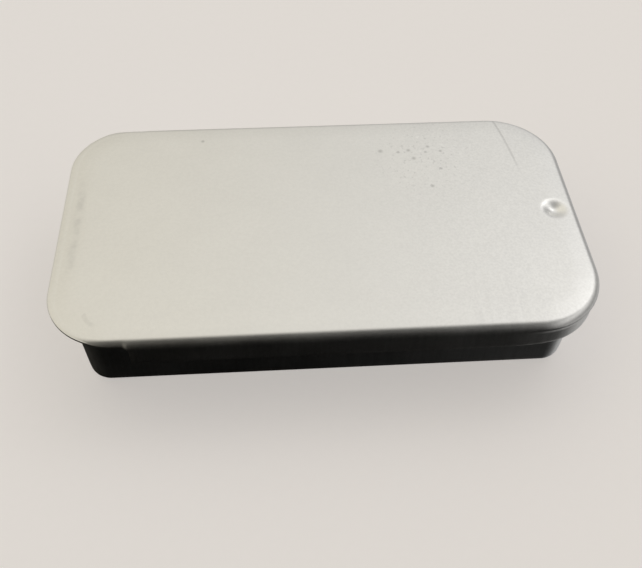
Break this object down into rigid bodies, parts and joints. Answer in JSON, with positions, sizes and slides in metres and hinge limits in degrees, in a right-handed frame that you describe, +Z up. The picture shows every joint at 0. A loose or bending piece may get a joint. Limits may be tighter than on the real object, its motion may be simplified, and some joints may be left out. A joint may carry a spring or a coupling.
{
  "type": "rosin tin",
  "caption": "Small slide-top metal tin with rounded corners, holding a cast cake of bow rosin.",
  "frame": {"origin": "centre of the closed tin's footprint, on the surface that it stands on", "axes": "+X along the tin, the way the lid slides open; +Y across it; +Z up, out of the lid"},
  "size_m": [0.06, 0.034, 0.011],
  "materials": {
    "tray_tinplate": "satin",
    "lid_tinplate": "satin, finely mottled",
    "rosin": "glassy amber, dusty on top"
  },
  "bodies": {
    "tin": {"tin_body": "tray_tinplate", "rosin_cake": "rosin"},
    "lid": {"slide_lid": "lid_tinplate"}
  },
  "joints": [
    {"name": "lid_slide", "type": "slide", "parent": "tin", "child": "lid", "axis": [1, 0, 0], "range_m": [0, 0.04]}
  ]
}
